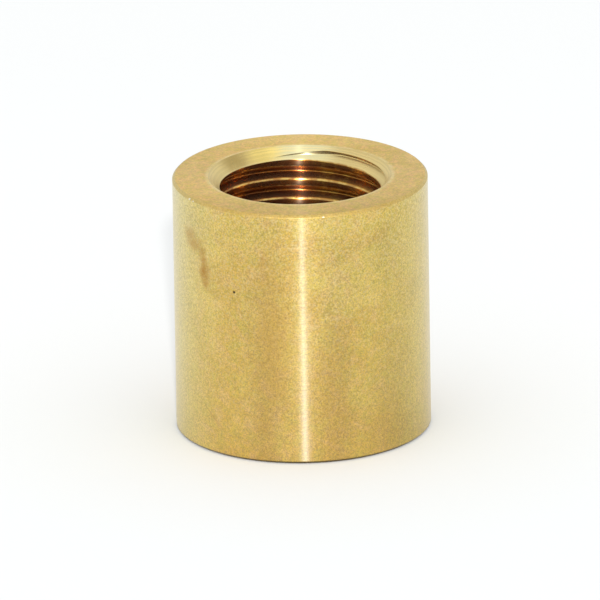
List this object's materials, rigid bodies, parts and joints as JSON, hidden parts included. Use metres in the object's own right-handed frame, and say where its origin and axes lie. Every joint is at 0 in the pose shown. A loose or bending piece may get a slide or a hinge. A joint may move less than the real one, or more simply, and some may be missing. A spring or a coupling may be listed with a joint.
{
  "type": "threaded reducing adapter",
  "caption": "Plain round brass adapter with a larger female thread in the top and a smaller one in the base, meeting at a drilled cone.",
  "frame": {"origin": "centre of the lower end face", "axes": "+Z along the common axis of the outside and both bores, towards the larger thread's mouth"},
  "size_m": [0.0158, 0.0158, 0.0163],
  "materials": {
    "turned_brass": "turned, dulled and lightly mottled outside, bright in the countersunk mouth, dark inside the bore"
  },
  "bodies": {
    "root": {"adapter_body": "turned_brass"}
  },
  "joints": []
}
